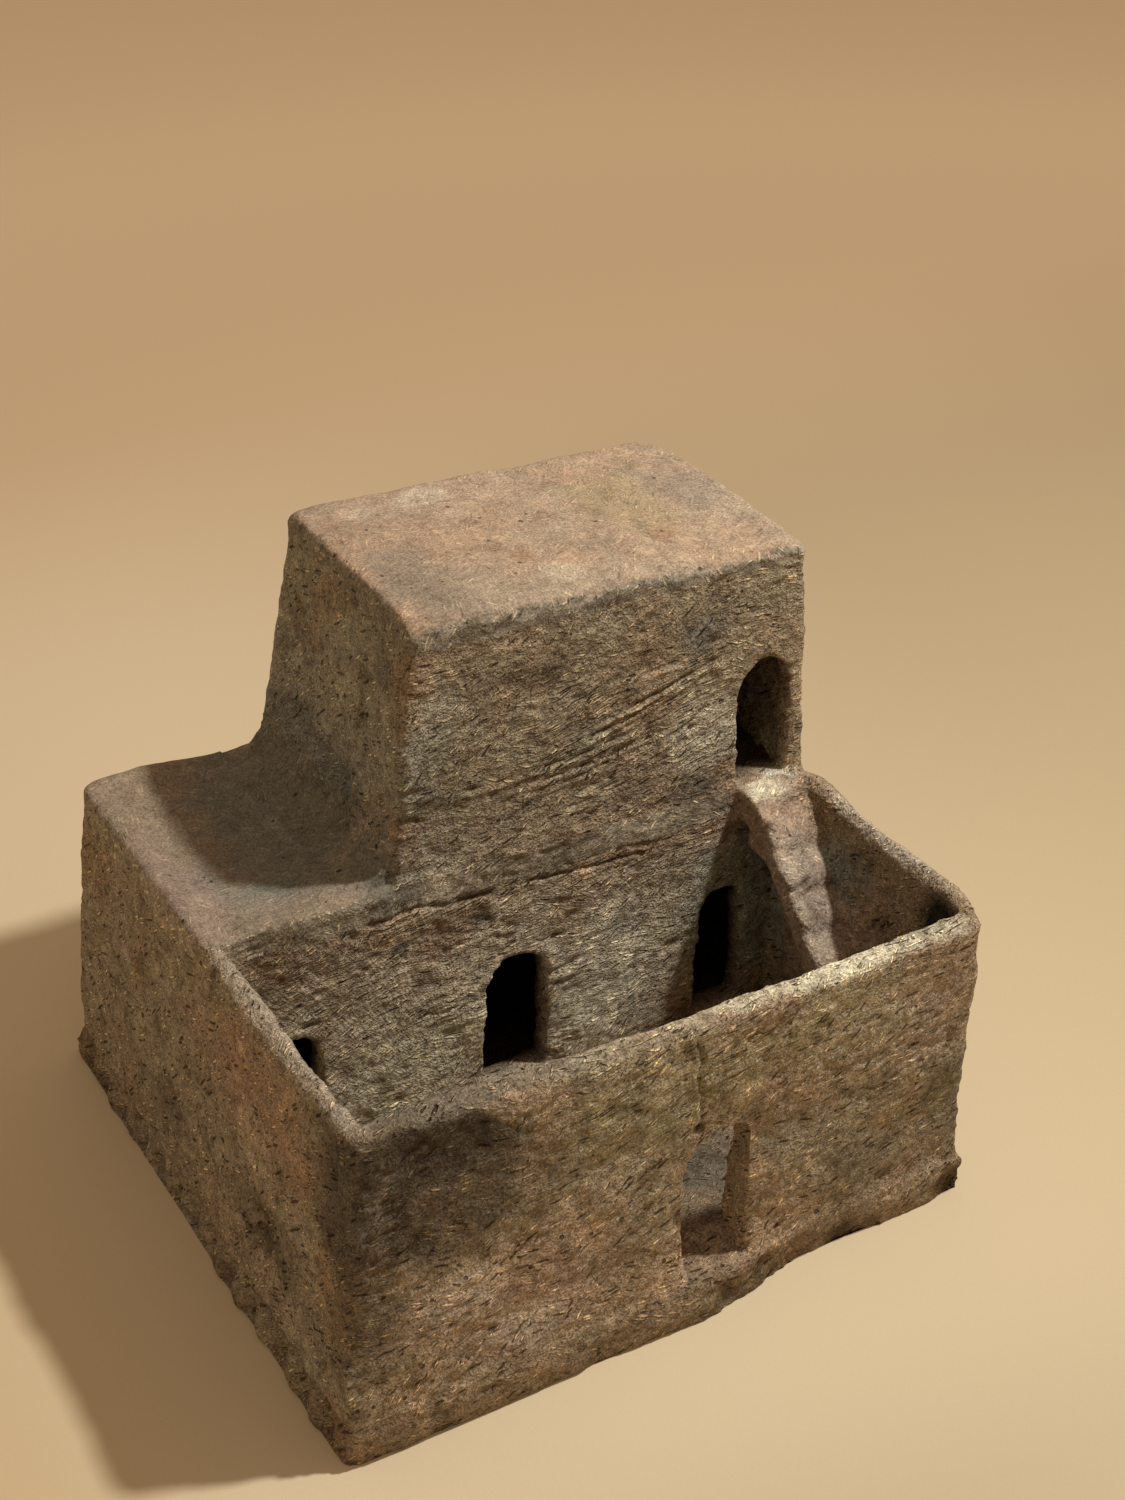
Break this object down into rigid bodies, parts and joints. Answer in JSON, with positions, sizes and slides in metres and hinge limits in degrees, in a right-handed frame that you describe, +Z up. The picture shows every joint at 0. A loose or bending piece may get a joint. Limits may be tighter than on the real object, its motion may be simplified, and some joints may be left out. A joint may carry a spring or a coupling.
{
  "type": "model house",
  "caption": "Hand-built clay model of a mud-brick house: walled courtyard with doorways, open stair, terrace and an upper storey.",
  "frame": {"origin": "middle of the footprint, on the flat underside of the base", "axes": "+X to the right along the courtyard front, +Y from the courtyard to the back of the house, +Z up"},
  "size_m": [0.35, 0.33, 0.2957],
  "materials": {
    "wall_clay": "matte clay tempered with straw, wiped by hand",
    "roof_clay": "matte clay, smoothed, pinkish tan",
    "stair_clay": "matte clay, worn and pale",
    "base_clay": "matte clay, rough pressed edge with grey soil"
  },
  "bodies": {
    "root": {"front_wall": "wall_clay", "left_court_wall": "wall_clay", "right_court_wall": "wall_clay", "left_house_wall": "wall_clay", "right_house_wall": "wall_clay", "back_wall": "wall_clay", "house_front_wall": "wall_clay", "inner_wall_left": "wall_clay", "inner_wall_right": "wall_clay", "upper_front_wall": "wall_clay", "upper_left_wall": "wall_clay", "upper_right_wall": "wall_clay", "upper_back_wall": "wall_clay", "lower_roof_slab": "roof_clay", "upper_roof_slab": "roof_clay", "terrace_fillet": "roof_clay", "stair_landing": "stair_clay", "stair_slab": "stair_clay", "stair_step_1": "stair_clay", "stair_step_2": "stair_clay", "stair_step_3": "stair_clay", "stair_step_4": "stair_clay", "stair_step_5": "stair_clay", "stair_step_6": "stair_clay", "stair_step_7": "stair_clay", "stair_step_8": "stair_clay", "base_slab": "base_clay"}
  },
  "joints": []
}
